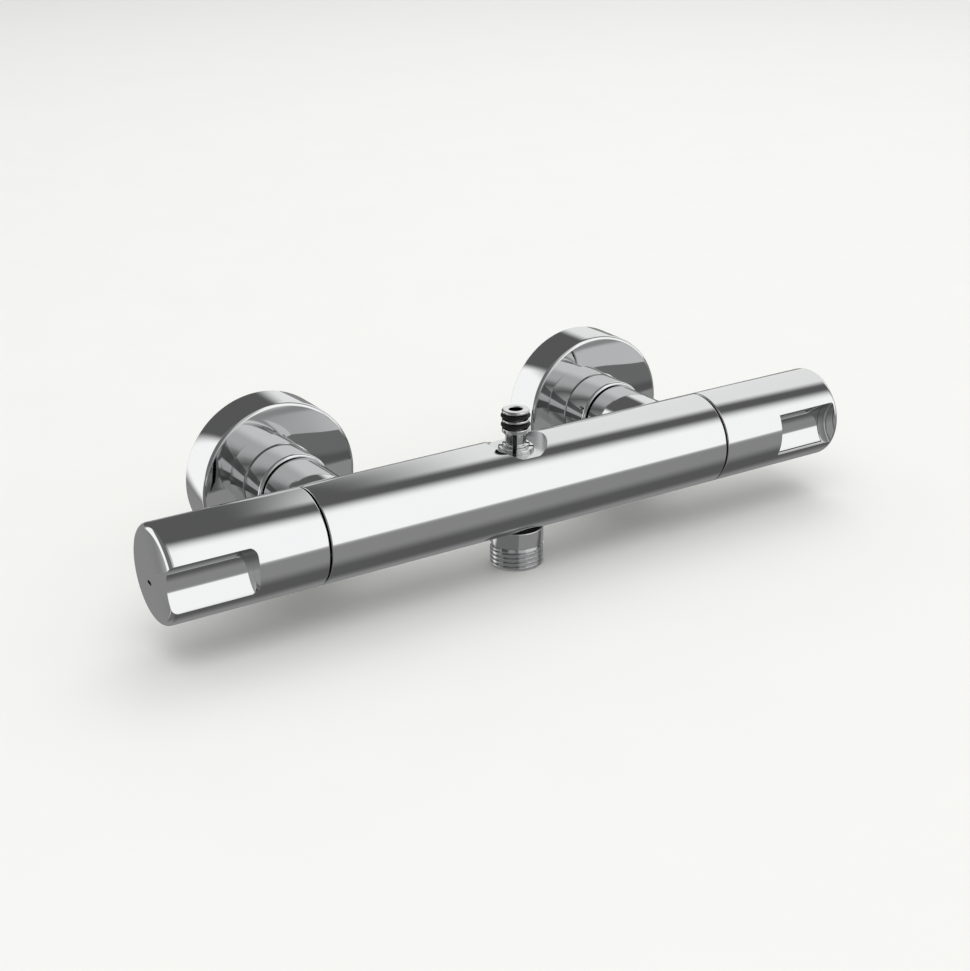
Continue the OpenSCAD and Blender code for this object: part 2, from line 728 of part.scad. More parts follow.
// Splined plastic insert between a spindle and its handle, along X
module handle_insert() {
    difference() {
        union() {
            along_x(insert_start) cylinder(r = insert_r, h = insert_end - insert_start);
            along_x(web_x - 2 - disc_gap) cylinder(r = insert_flange_r, h = 2);
        }
        along_x(insert_start - 1) cylinder(r = spline_r + run_fit, h = insert_end - insert_start + 2);
        translate([grub_x, 0, -insert_r - 1]) cylinder(r = grub_r + 0.3, h = 2);
    }
}

module flow_handle_insert() color("ivory") on_bar() left_side() handle_insert();
module temperature_handle_insert() color("ivory") on_bar() handle_insert();

// Hexagon socket grub screw from below, with its cup point on the insert
module grub_screw() {
    depth = 2.5;
    translate([grub_x, 0, -insert_r + 0.9 - grub_length]) difference() {
        cylinder(r = grub_r, h = grub_length - 0.8);
        translate([0, 0, -1]) cylinder(r = grub_hex / 2 / cos(30), h = depth + 1, $fn = 6);
    }
}

module flow_handle_grub_screw() color("dimgray") on_bar() left_side() grub_screw();
module temperature_handle_grub_screw() color("dimgray") on_bar() grub_screw();

// The splined outer end that both spindles share
module splined_end(from) {
    root = 0.45;
    difference() {
        along_x(from - 1) drum(spline_r, spindle_end - from + 1, 0, 0.4);
        for (k = [0 : splines - 1]) rotate([360 * k / splines, 0, 0])
            translate([spline_start, spline_r - root, -0.3]) cube([spindle_end, 1, 0.6]);
    }
}

module flow_spindle() {
    ring_x = body_end + 1;
    color("goldenrod") on_bar() left_side() {
        difference() {
            union() {
                along_x(driver_start) cylinder(r = disc_r, h = driver_t);
                along_x(driver_start) drum(spindle_r, spline_start - driver_start, 0, 0);
                for (side = [-1, 1]) translate([driver_start - driver_lug, -1.4, side * driver_lug_z - 1.4])
                    cube([driver_lug + 1, 2.8, 2.8]);
            }
            along_x(ring_x) ring(spindle_r + 1, spindle_r - 1.1, 2);
        }
        splined_end(spline_start);
    }
}

module flow_spindle_o_ring() {
    color("#202020") on_bar() left_side() along_x(body_end + 2)
        o_ring(spindle_r + run_fit - eps, 0.55);
}

// Ceramic disc that turns: its pocket joins the mixed water to one outlet at a time
module flow_moving_disc() {
    pocket = 1.6;
    color("whitesmoke") on_bar() left_side() difference() {
        along_x(moving_disc_start) cylinder(r = disc_r, h = disc_t);
        along_x(moving_disc_start - 1) cylinder(r = mixed_way_r, h = pocket + 1);
        translate([0, -branch_way_z, 0]) along_x(moving_disc_start - 1)
            cylinder(r = branch_way_r, h = pocket + 1);
        translate([moving_disc_start - 1, -branch_way_z, -branch_way_r])
            cube([pocket + 1, branch_way_z, 2 * branch_way_r]);
        for (side = [-1, 1])
            translate([moving_disc_start + disc_t - driver_lug - 0.1, -1.5, side * driver_lug_z - 1.5])
                cube([3, 3, 3]);
    }
}

// The three ports shared by the fixed disc and its rubber seal, along X
module flow_ports(from, h) {
    along_x(from) cylinder(r = mixed_way_r, h = h);
    for (turn = port_turns) rotate([turn, 0, 0]) translate([0, branch_way_z, 0])
        along_x(from) cylinder(r = branch_way_r - 0.3, h = h);
}

module flow_fixed_disc() {
    color("white") on_bar() left_side() difference() {
        along_x(fixed_disc_start) cylinder(r = disc_r, h = disc_t);
        flow_ports(fixed_disc_start - 1, disc_t + 2);
    }
}

module flow_port_seal() {
    color("#303030") on_bar() left_side() difference() {
        along_x(flow_in) cylinder(r = flow_housing_r - 0.2, h = seal_t);
        flow_ports(flow_in - 1, seal_t + 2);
    }
}

// Brass head of the flow cartridge; it screws into the bar and carries the spindle
module flow_cartridge_housing() {
    color("goldenrod") on_bar() left_side() difference() {
        union() {
            along_x(fixed_disc_start) cylinder(r = flow_housing_r, h = body_end - flow_flange_t - fixed_disc_start + 1);
            along_x(body_end - flow_flange_t) drum(flow_flange_r, flow_flange_t, 0, 0.4);
            along_x(body_end - 1) drum(flow_neck_r, nut_neck_end - body_end + 1, 0, 0.5);
        }
        along_x(fixed_disc_start - 1)
            cylinder(r = disc_r + run_fit, h = driver_start + driver_t + 0.1 - fixed_disc_start + 1);
        along_x(fixed_disc_start) cylinder(r = spindle_r + run_fit, h = bar_length);
        for (x = flow_ring_places()) along_x(x - 1.1) ring(flow_r + 1, flow_r - 2.1, 2.2);
        for (turn = [0, 180]) rotate([turn, 0, 0])
            translate([body_end, flow_neck_r - 1, -flow_neck_r]) cube([3, 2, 2 * flow_neck_r]);
    }
}

function flow_ring_places() = [driver_start + 6, body_end - flow_flange_t - 4];

module flow_cartridge_o_rings() {
    color("#202020") on_bar() left_side() for (x = flow_ring_places())
        along_x(x) o_ring(flow_r - eps, 1);
}

// Housing of the thermostat: a nose and a barrel, with water windows inside ring-shaped channels
module thermostat_housing() {
    length = thermo_housing_end - thermo_housing_start;
    barrel_start = nose_end + 0.2;
    groove_bottom = 1.85;
    color("tan") on_bar() difference() {
        union() {
            along_x(thermo_housing_start) drum(nose_r - seat_fit, length, 0.5, 0);
            along_x(barrel_start) cylinder(r = thermo_housing_r, h = thermo_housing_end - barrel_start);
        }
        along_x(thermo_housing_start - 1) cylinder(r = thermo_exit_r, h = length);
        along_x(thermo_housing_start + thermo_floor_t) cylinder(r = nose_bore_r, h = length);
        along_x(nose_end + 0.8) cylinder(r = piston_bore_r, h = length);
        for (turn = [0, 60, 120]) rotate([turn, 0, 0]) for (x = [hot_window_x, cold_window_x])
            translate([x, -bar_r, -window_h / 2]) cube([window_w, bar_d, window_h]);
        along_x(hot_window_x - 0.6) ring(bar_r, thermo_housing_r - annulus_depth, window_w + 1.2);
        along_x(cold_window_x - 0.6)
            ring(bar_r, thermo_housing_r - annulus_depth, cold_annulus_end - cold_window_x + 0.6);
        along_x(nose_ring_x - 1.1) ring(bar_r, nose_r - 2.1, 2.2);
        for (x = barrel_ring_places()) along_x(x - 1.1) ring(bar_r, thermo_r - 2.1, 2.2);
        // Two keyways hold the push nut against turning
        translate([cold_window_x, -push_nut_r - 1.6, -push_key_w / 2 - 0.15])
            cube([length, 2 * push_nut_r + 3.2, push_key_w + 0.3]);
    }
}

nose_ring_x = thermo_in + 2.4;

function barrel_ring_places() = [
    (hot_window_x + window_w + cold_window_x) / 2,
    thermo_housing_end - 1.8,
];

module thermostat_o_rings() {
    color("#202020") on_bar() {
        along_x(nose_ring_x) o_ring(nose_r - eps, 1);
        for (x = barrel_ring_places()) along_x(x) o_ring(thermo_r - eps, 1);
    }
}

// Sleeve that opens hot as it closes cold; the spokes of its web hold the wax element
module regulating_piston() {
    hollow_r = piston_r - piston_wall;
    color("lightgray") on_bar() difference() {
        union() {
            along_x(piston_start) ring(piston_r, hollow_r, piston_length);
            along_x(piston_web) cylinder(r = hollow_r + eps, h = piston_web_t);
        }
        along_x(piston_web - 1) cylinder(r = wax_r + seat_fit, h = piston_web_t + 2);
        for (k = [0 : 5]) rotate([60 * k, 0, 0])
            translate([piston_web - 1, (wax_r + hollow_r) / 2 + 0.1, 0])
                along_x(0) cylinder(r = 1.5, h = piston_web_t + 2);
    }
}

module wax_element() {
    color("peru") on_bar() {
        along_x(wax_start) drum(wax_r, wax_length, 1, 0.6);
        along_x(piston_web + piston_web_t + disc_gap) cylinder(r = wax_r + 1.2, h = 1.4);
        along_x(wax_start + wax_length - 1)
            cylinder(r = wax_pin_r, h = wax_pin_length + 1 - disc_gap);
    }
}

module return_spring() {
    low = thermo_housing_start + thermo_floor_t + disc_gap;
    color("lightsteelblue") on_bar() along_x(low)
        coil_spring(wax_r + 1.6, return_wire_r, piston_web - disc_gap - low, 4.5);
}

// Nut on the spindle's thread: it can't turn, so it moves along and pushes the wax element
module push_nut() {
    length = push_nut_end - push_nut_start;
    color("darkkhaki") on_bar() difference() {
        union() {
            along_x(push_nut_start) drum(push_nut_r, length, 0.4, 0.4);
            translate([push_nut_start, -push_nut_r - 1.3, -push_key_w / 2])
                cube([length, 2 * push_nut_r + 2.6, push_key_w]);
        }
        along_x(push_nut_start - 1) cylinder(r = push_well_r, h = push_well_depth + 1);
        along_x(push_nut_start + 0.5) ring(push_well_r + 0.6, push_well_r - 1, snap_ring_t + 0.2);
        along_x(push_nut_start + push_well_depth + push_floor_t)
            cylinder(r = spindle_r + run_fit, h = length);
    }
}

// Plunger that the wax element's pin rests in, backed by the overload spring
module overload_plunger() {
    color("silver") on_bar() difference() {
        along_x(plunger_start) cylinder(r = push_well_r - run_fit, h = plunger_t);
        along_x(plunger_start - 1) cylinder(r = wax_pin_r + 0.3, h = 1.5);
    }
}

module overload_spring() {
    low = plunger_start + plunger_t + disc_gap;
    high = push_nut_start + push_well_depth - disc_gap;
    color("lightsteelblue") on_bar() along_x(low)
        coil_spring(push_well_r - 1.2, overload_wire_r, high - low, 2.5);
}

module overload_snap_ring() {
    color("gray") on_bar() difference() {
        along_x(push_nut_start + 0.6) ring(push_well_r + 0.5, push_well_r - 1.3, snap_ring_t);
        translate([push_nut_start, 0, -1.2]) cube([snap_ring_t + 2, push_well_r + 2, 2.4]);
    }
}

module temperature_spindle() {
    ring_x = body_end - 3;
    collar = thermo_housing_end + 0.1;
    thread_start = push_nut_start + push_well_depth + push_floor_t + 0.6;
    color("goldenrod") on_bar() {
        difference() {
            union() {
                along_x(thread_start) drum(spindle_r, spline_start - thread_start, 0.5, 0);
                along_x(collar) cylinder(r = spindle_collar_r, h = spindle_collar_t);
            }
            along_x(ring_x) ring(spindle_r + 1, spindle_r - 1.1, 2);
        }
        splined_end(spline_start);
    }
}

module temperature_spindle_o_ring() {
    color("#202020") on_bar() along_x(body_end - 2) o_ring(spindle_r + run_fit - eps, 0.55);
}

// Nut that screws into the bar, holds the thermostat and carries the stop ring
module thermostat_retaining_nut() {
    room = spindle_collar_t + 0.3;
    length = body_end - thermo_housing_end;
    color("goldenrod") on_bar() difference() {
        union() {
            along_x(thermo_housing_end) drum(thermo_housing_r, length, 0, 0.4);
            along_x(body_end - 1) drum(nut_neck_r, nut_neck_end - body_end + 1, 0, 0.4);
        }
        along_x(thermo_housing_end - 1) cylinder(r = spindle_collar_r + 0.3, h = room + 1);
        along_x(thermo_housing_end - 1) cylinder(r = spindle_r + run_fit, h = nut_neck_end);
        along_x(body_end + 1.5) cylinder(r = nut_neck_r - nut_neck_wall, h = nut_neck_end);
        for (k = [0 : stop_splines - 1]) rotate([360 * k / stop_splines, 0, 0])
            translate([stop_ring_start, nut_neck_r - 0.7, -0.7]) cube([nut_neck_end, 2, 1.4]);
    }
}

// Splined ring with the tooth of the comfort stop
module stop_ring() {
    color("firebrick") on_bar() {
        along_x(stop_ring_start) ring(stop_ring_r, nut_neck_r + 0.1, stop_ring_end - stop_ring_start);
        for (k = [0 : stop_splines - 1]) rotate([360 * k / stop_splines, 0, 0])
            translate([stop_ring_start + 0.1, nut_neck_r - 0.4, -0.5])
                cube([nut_neck_end - stop_ring_start - 0.2, 1, 1]);
        rotate([180 - stop_tooth_turn, 0, 0])
            translate([stop_ring_end - eps, stop_tooth_in, -stop_tooth_w / 2])
                cube([stop_tooth_length + eps, stop_ring_r - 0.6 - stop_tooth_in, stop_tooth_w]);
    }
}

valve_body();
hose_outlet();
outlet_o_ring();
riser_spigot();
spigot_o_rings();
inlet_nipple(-1);  // left_inlet_nipple
inlet_nipple(1);  // right_inlet_nipple
union_nut(-1);  // left_union_nut
union_nut(1);  // right_union_nut
eccentric_union(-1);  // left_eccentric_union
eccentric_union(1);  // right_eccentric_union
union_washers();
inlet_filter(-1);  // left_inlet_filter
inlet_filter(1);  // right_inlet_filter
check_valve_cage(-1);  // left_check_valve_cage
check_valve_cage(1);  // right_check_valve_cage
check_valve_poppet(-1);  // left_check_valve_poppet
check_valve_poppet(1);  // right_check_valve_poppet
check_valve_spring(-1);  // left_check_valve_spring
check_valve_spring(1);  // right_check_valve_spring
rosette(-1);  // left_rosette
rosette(1);  // right_rosette
rosette_gasket(-1);  // left_rosette_gasket
rosette_gasket(1);  // right_rosette_gasket
flow_handle();
flow_handle_insert();
flow_handle_grub_screw();
flow_spindle();
flow_spindle_o_ring();
flow_moving_disc();
flow_fixed_disc();
flow_port_seal();
flow_cartridge_housing();
flow_cartridge_o_rings();
temperature_handle();
temperature_handle_insert();
temperature_handle_grub_screw();
safety_button();
safety_button_spring();
temperature_spindle();
temperature_spindle_o_ring();
stop_ring();
thermostat_retaining_nut();
thermostat_housing();
thermostat_o_rings();
regulating_piston();
wax_element();
return_spring();
push_nut();
overload_plunger();
overload_spring();
overload_snap_ring();
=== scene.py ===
import json
import math

import bpy
from mathutils import Matrix, Vector


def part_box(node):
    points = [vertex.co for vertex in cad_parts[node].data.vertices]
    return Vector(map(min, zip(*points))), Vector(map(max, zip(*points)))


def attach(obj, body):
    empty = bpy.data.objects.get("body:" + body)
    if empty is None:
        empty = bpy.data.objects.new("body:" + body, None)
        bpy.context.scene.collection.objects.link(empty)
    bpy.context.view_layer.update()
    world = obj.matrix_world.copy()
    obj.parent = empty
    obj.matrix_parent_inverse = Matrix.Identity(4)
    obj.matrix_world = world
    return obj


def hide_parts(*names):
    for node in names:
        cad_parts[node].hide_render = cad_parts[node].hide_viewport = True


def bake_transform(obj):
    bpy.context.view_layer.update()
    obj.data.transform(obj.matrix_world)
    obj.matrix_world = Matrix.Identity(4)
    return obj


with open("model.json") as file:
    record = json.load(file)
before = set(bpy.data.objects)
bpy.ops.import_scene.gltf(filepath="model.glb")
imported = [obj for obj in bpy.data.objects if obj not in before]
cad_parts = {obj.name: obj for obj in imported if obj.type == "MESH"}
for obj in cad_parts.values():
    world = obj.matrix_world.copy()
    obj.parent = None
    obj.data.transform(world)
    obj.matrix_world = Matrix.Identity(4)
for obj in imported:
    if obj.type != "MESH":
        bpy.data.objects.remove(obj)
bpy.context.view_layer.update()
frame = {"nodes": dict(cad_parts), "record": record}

MM = 0.001

# Sizes are in millimetres. X runs along the bar, Y towards the wall, whose face is at y = 0, and Z up.

# The bar, whose axis lies this far in front of the wall
BAR_Y = -69.5
BAR_R = 18.5
BODY_END = 89.6
BAR_EDGE = 0.5
INLET_X = 75.0
NECK_R = 14.5
NECK_SWEEP = 8.0
NECK_END = 38.2 + BAR_Y
SPOT_R = 12.0
SPOT_Z = 14.5

# The handles
HANDLE_START = 90.4
HANDLE_END = 150.0
HANDLE_WALL = 1.8
WEB_X = 112.0
SCOOP_R = 11.9
SCOOP_Y = BAR_Y - 24.4
SCOOP_START = 117.7
SCOOP_HALF = 8.8
SCOOP_CORNER = 3.2
POCKET_START, POCKET_END, POCKET_ROUND = 118.8, 147.8, 1.0
MARK_Y = 3.5
MARK_Z = -4.2
MARK_R = 0.8
MARK_HALF = 0.9
MARK_DEPTH = 0.5

# The safety button in the pocket's floor
BUTTON_START, BUTTON_END = 119.4, 143.2
BUTTON_BACK = BAR_Y - 8.6
BUTTON_HALF = 7.8
BUTTON_GAP = 0.3
BUTTON_FLOOR = BUTTON_BACK + 2.4
BUTTON_LEDGE = 0.8
PAWL_HALF = 2.0
PAWL_TIP = 98.4
BUTTON_SPRING_X = 131.3
SPRING_SEAT_R = 2.8

# The wall connection
NUT_START = 39.3 + BAR_Y
NUT_END = -9.5
NUT_R = 15.75
NUT_LIP_R = 11.35
NUT_THREAD_R = 13.27
SHOULDER_Y = 49.9 + BAR_Y
SPANNER_LENGTH = 5.0
SPANNER_HALF = 14.8
ROSETTE_R = 32.5
ROSETTE_FRONT = -17.0
ROSETTE_WALL = 1.6
ROSETTE_HOLE_R = 16.05
NIPPLE_END = 52.5 + BAR_Y
UNION_DROP = 12.5
BLOCK_START, BLOCK_END = -8.2, -1.2
STUB_END = 19.8

# The outlets
THREAD_R = 10.4775
THREAD_PITCH = 1.814
THREAD_DEPTH = 1.0
OUTLET_TIP, OUTLET_THREAD_TOP, COLLAR_LOW, COLLAR_TOP = -32.5, -24.7, -23.6, -17.02
OUTLET_SOCKET = 12.0
SPIGOT_TOP, SPIGOT_R, SPIGOT_NECK_R, SEAL_GROOVE_R = 30.8, 5.3, 4.0, 4.3
SEAL_Z, SEAL_STEP = 24.7, 3.6
NOTCH_TURN, NOTCH_R, NOTCH_HALF, NOTCH_LOW, NOTCH_HIGH = 52, 3.4, 0.75, 14.2, 22

LEFTWARD, RIGHTWARD, TO_WALL, UPWARD = (-1, 0, 0), (1, 0, 0), (0, 1, 0), (0, 0, 1)
SIDES = 384

# What is bored out of the bar. Each row: name, radius, length, start measured from the bar's axis, direction, sides.
BORES = [
    ("spot face", SPOT_R, 10, (0, 0, SPOT_Z), UPWARD, SIDES),
    ("spigot seat", 5.05, 6, (0, 0, 9), UPWARD, 128),
    ("outlet flat", 10.7, 20, (0, 0, -37), UPWARD, SIDES),
    ("outlet seat", 8.05, 12, (0, 0, -20), UPWARD, 128),
    ("thermostat chamber", 14.5, 46, (45, 0, 0), RIGHTWARD, 192),
    ("thermostat nose", 12, 6, (40, 0, 0), RIGHTWARD, 128),
    ("flow chamber", 11.5, 43, (-91, 0, 0), RIGHTWARD, 192),
    ("flow cartridge seat", 13.05, 8, (-91.8, 0, 0), RIGHTWARD, 192),
    ("hot inlet way", 5.2, 14, (-INLET_X, 12.6, 0), TO_WALL, 96),
    ("cold inlet way", 5.2, 19.35, (INLET_X, 7.25, 0), TO_WALL, 96),
    ("mixed way", 3.8, 89, (-48.5, 0, 0), RIGHTWARD, 64),
    ("riser way", 2.4, 50.9, (-48.5, 0, 7.2), RIGHTWARD, 48),
    ("hose way", 2.4, 50.9, (-48.5, 0, -7.2), RIGHTWARD, 48),
    ("riser way's end", 2.4, 3, (0, 0, 7.2), UPWARD, 48),
]
HOT_WAY_R, HOT_WAY_LENGTH, HOT_WAY_REACH, HOT_WAY_TURNS = 2.1, 126.5, 14.9, (-20, 0, 20)


# Modelling


def deselect():
    if bpy.context.object and bpy.context.object.mode != "OBJECT":
        bpy.ops.object.mode_set(mode="OBJECT")
    bpy.ops.object.select_all(action="DESELECT")


def take(piece):
    deselect()
    piece.select_set(True)
    bpy.context.view_layer.objects.active = piece


def settle(piece):
    """Puts the piece's place into its mesh."""
    take(piece)
    bpy.ops.object.transform_apply(location=True, rotation=True, scale=True)
    return piece


def shape_with(piece, kind, **settings):
    """Adds one modifier, sets it and applies it."""
    take(piece)
    mod = piece.modifiers.new(kind.lower(), kind)
    for name, value in settings.items():
        setattr(mod, name, value)
    bpy.ops.object.modifier_apply(modifier=mod.name)
    return piece


def from_points(name, verts, edges, faces):
    mesh = bpy.data.meshes.new(name)
    mesh.from_pydata(verts, edges, faces)
    piece = bpy.data.objects.new(name, mesh)
    bpy.context.collection.objects.link(piece)
    take(piece)
    return piece


def face_outwards(piece, close=False):
    """Turns all faces outwards, after loose points are dropped and, where asked, open ends are closed."""
    take(piece)
    bpy.ops.object.mode_set(mode="EDIT")
    bpy.ops.mesh.select_all(action="SELECT")
    bpy.ops.mesh.delete_loose(use_verts=True, use_edges=True, use_faces=False)
    bpy.ops.mesh.select_all(action="SELECT")
    if close:
        bpy.ops.mesh.fill_holes(sides=0)
    bpy.ops.mesh.normals_make_consistent(inside=False)
    bpy.ops.object.mode_set(mode="OBJECT")
    return piece


def stand(piece, place, direction):
    """Puts a piece that was made upright at a place in metres, pointing in a direction."""
    turn = Vector(UPWARD).rotation_difference(Vector(direction))
    piece.matrix_world = Matrix.Translation(place) @ turn.to_matrix().to_4x4()
    return settle(piece)


def between(a, b, share, angle):
    """The arm between arms a and b, which are angle apart, at a share of the way along their arc."""
    return (a * math.sin((1 - share) * angle) + b * math.sin(share * angle)) / math.sin(angle)


def rounded(corners, steps=8):
    """A closed outline in which each corner (r, h, radius) is rounded by its radius."""
    line = []
    n = len(corners)
    for i, (r, h, e) in enumerate(corners):
        here = Vector((r, h))
        if not e:
            line.append(here)
            continue
        to_last = (Vector(corners[i - 1][:2]) - here).normalized()
        to_next = (Vector(corners[(i + 1) % n][:2]) - here).normalized()
        half = to_last.angle(to_next) / 2
        centre = here + (to_last + to_next).normalized() * e / math.sin(half)
        a = here + to_last * e / math.tan(half) - centre
        b = here + to_next * e / math.tan(half) - centre
        open_by = a.angle(b)
        line += [centre + between(a, b, k / steps, open_by) for k in range(steps + 1)]
    return line


def turned(name, outline, place, direction, sides=SIDES):
    """Turns a closed outline of (radius, distance along the axis) points around an axis."""
    n = len(outline)
    piece = from_points(name, [(r * MM, 0, h * MM) for r, h in outline], [(i, (i + 1) % n) for i in range(n)], [])
    shape_with(piece, "SCREW", steps=sides, render_steps=sides, use_merge_vertices=True, merge_threshold=2e-7)
    face_outwards(piece)
    return stand(piece, Vector(place) * MM, direction)


def rod(name, r, length, place, direction, sides=SIDES):
    """A plain cutter: a cylinder that starts at place and runs in a direction."""
    return turned(name, [(0, 0), (r, 0), (r, length), (0, length)], place, direction, sides)


def block(name, low, high):
    """A cutter with straight sides, from its lowest to its highest corner."""
    deselect()
    bpy.ops.mesh.primitive_cube_add(size=1)
    piece = bpy.context.object
    piece.name = name
    piece.location = (Vector(low) + Vector(high)) / 2 * MM
    piece.scale = (Vector(high) - Vector(low)) * MM
    return settle(piece)


def slab(name, outline, low, high):
    """A cutter of any outline: points (x, z), drawn from low to high along Y."""
    n = len(outline)
    verts = [(u * MM, y * MM, v * MM) for y in (low, high) for u, v in outline]
    ends = [tuple(range(n)), tuple(range(2 * n - 1, n - 1, -1))]
    walls = [(k, k + n, (k + 1) % n + n, (k + 1) % n) for k in range(n)]
    return face_outwards(from_points(name, verts, [], ends + walls))


def turned_about(piece, x, y, angle, axis):
    """The cutter, made around the origin, turned about an axis through (x, y)."""
    piece.matrix_world = Matrix.Translation((x * MM, y * MM, 0)) @ Matrix.Rotation(angle, 4, axis)
    return settle(piece)


def combine(piece, others, how):
    for other in others:
        shape_with(piece, "BOOLEAN", operation=how, solver="MANIFOLD", object=other)
        bpy.data.objects.remove(other, do_unlink=True)
    return piece


def cut(piece, *cutters):
    return combine(piece, cutters, "DIFFERENCE")


def join(piece, *others):
    return combine(piece, others, "UNION")


def thread_rows(crest, low, high, rows):
    """The fine rows of an outline into which a thread is cut later."""
    return [(crest, low + (high - low) * i / rows) for i in range(rows + 1)]


def thread(piece, centre, direction, low, high, crest):
    """Cuts a V thread into the fine rows of a turned piece, running out at both ends."""
    steepness, run_out_length = 1.8, 0.6
    axis = Vector(direction)
    centre = Vector(centre) * MM
    side = axis.orthogonal().normalized()
    other = axis.cross(side)
    for v in piece.data.vertices:
        arm = v.co - centre
        h = arm.dot(axis) / MM
        flat = arm - axis * arm.dot(axis)
        if not low <= h <= high or abs(flat.length / MM - crest) > 0.02:
            continue
        turn = math.atan2(flat.dot(other), flat.dot(side)) / (2 * math.pi)
        phase = (h / THREAD_PITCH - turn) % 1
        steep = max(0.0, 1 - steepness * abs(2 * phase - 1))
        groove = steep * steep * (3 - 2 * steep)
        run_out = min(1.0, (h - low) / run_out_length, (high - h) / run_out_length)
        v.co -= flat.normalized() * groove * THREAD_DEPTH * run_out * MM


def dress(piece, finish, wanted):
    """Gives the faces whose corners are all wanted another finish. Places are measured from the bar's axis."""
    piece.data.materials.append(finish)
    places = [wanted(v.co.x / MM, v.co.y / MM - BAR_Y, v.co.z / MM) for v in piece.data.vertices]
    for face in piece.data.polygons:
        if all(places[v] for v in face.vertices):
            face.material_index = len(piece.data.materials) - 1


def finish_piece(piece, name, node, body, slot, angle=30):
    """Names, smooths and dresses a piece in its node's stead, and attaches it to its body where one is given."""
    take(piece)
    bpy.ops.object.shade_smooth_by_angle(angle=math.radians(angle))
    piece.name = piece.data.name = name
    piece.data.materials.clear()
    piece.data.materials.append(FINISH[slot])
    for face in piece.data.polygons:
        face.material_index = 0
    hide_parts(node)
    if body:
        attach(piece, body)
    return piece


def finish_pair(piece, name, node, bodies, slot):
    """Finishes a piece of the left, hot connection, and a copy of it for the right, cold one."""
    twin = piece.copy()
    twin.data = piece.data.copy()
    bpy.context.collection.objects.link(twin)
    twin.data.transform(Matrix.Translation((2 * INLET_X * MM, 0, 0)))
    finish_piece(piece, "hot_" + name, "left_" + node, bodies[0], slot)
    finish_piece(twin, "cold_" + name, "right_" + node, bodies[1], slot)


# Materials


def grain_group():
    """Fine variation of a worked surface: a value that changes over the surface, at a set size."""
    group = bpy.data.node_groups.new("worked surface", "ShaderNodeTree")
    for name in ("Size", "Low", "High"):
        group.interface.new_socket(name, in_out="INPUT", socket_type="NodeSocketFloat")
    group.interface.new_socket("Value", in_out="OUTPUT", socket_type="NodeSocketFloat")
    n, link = group.nodes, group.links.new
    entry, out = n.new("NodeGroupInput"), n.new("NodeGroupOutput")
    place, noise, fit = n.new("ShaderNodeTexCoord"), n.new("ShaderNodeTexNoise"), n.new("ShaderNodeMapRange")
    noise.inputs["Detail"].default_value = 4
    fit.inputs["From Min"].default_value = 0.3
    fit.inputs["From Max"].default_value = 0.7
    link(place.outputs["Object"], noise.inputs["Vector"])
    link(entry.outputs["Size"], noise.inputs["Scale"])
    link(noise.outputs["Fac"], fit.inputs["Value"])
    link(entry.outputs["Low"], fit.inputs["To Min"])
    link(entry.outputs["High"], fit.inputs["To Max"])
    link(fit.outputs["Result"], out.inputs["Value"])
    return group


GRAIN = grain_group()


def material(name, colour, metallic=0.0, rough=(0.3, 0.4), size=900, tint=0.0, bump=0.0, edge=0.0, **sockets):
    """A finish with a fine variation of colour and roughness, a bump, and edges rounded by edge millimetres."""
    bump_size, bump_height = 2500, 0.0001
    mat = bpy.data.materials.new(name)
    mat.use_nodes = True
    n, link = mat.node_tree.nodes, mat.node_tree.links.new
    skin = n["Principled BSDF"]
    skin.inputs["Metallic"].default_value = metallic
    for socket, value in sockets.items():
        skin.inputs[socket.replace("_", " ")].default_value = value

    def grain(size, low, high):
        node = n.new("ShaderNodeGroup")
        node.node_tree = GRAIN
        for socket, value in (("Size", size), ("Low", low), ("High", high)):
            node.inputs[socket].default_value = value
        return node.outputs["Value"]

    link(grain(size, *rough), skin.inputs["Roughness"])
    mix = n.new("ShaderNodeMix")
    mix.data_type = "RGBA"
    mix.inputs["A"].default_value = (*colour, 1)
    mix.inputs["B"].default_value = (*[c * (1 - tint) for c in colour], 1)
    link(grain(size * 0.4, 0, 1), mix.inputs["Factor"])
    link(mix.outputs["Result"], skin.inputs["Base Color"])
    normal = None
    if edge:
        normal = n.new("ShaderNodeBevel")
        normal.samples = 6
        normal.inputs["Radius"].default_value = edge * MM
    if bump:
        relief = n.new("ShaderNodeBump")
        relief.inputs["Strength"].default_value = bump
        relief.inputs["Distance"].default_value = bump_height
        link(grain(bump_size, 0, 1), relief.inputs["Height"])
        if normal:
            link(normal.outputs["Normal"], relief.inputs["Normal"])
        normal = relief
    if normal:
        link(normal.outputs["Normal"], skin.inputs["Normal"])
    return mat


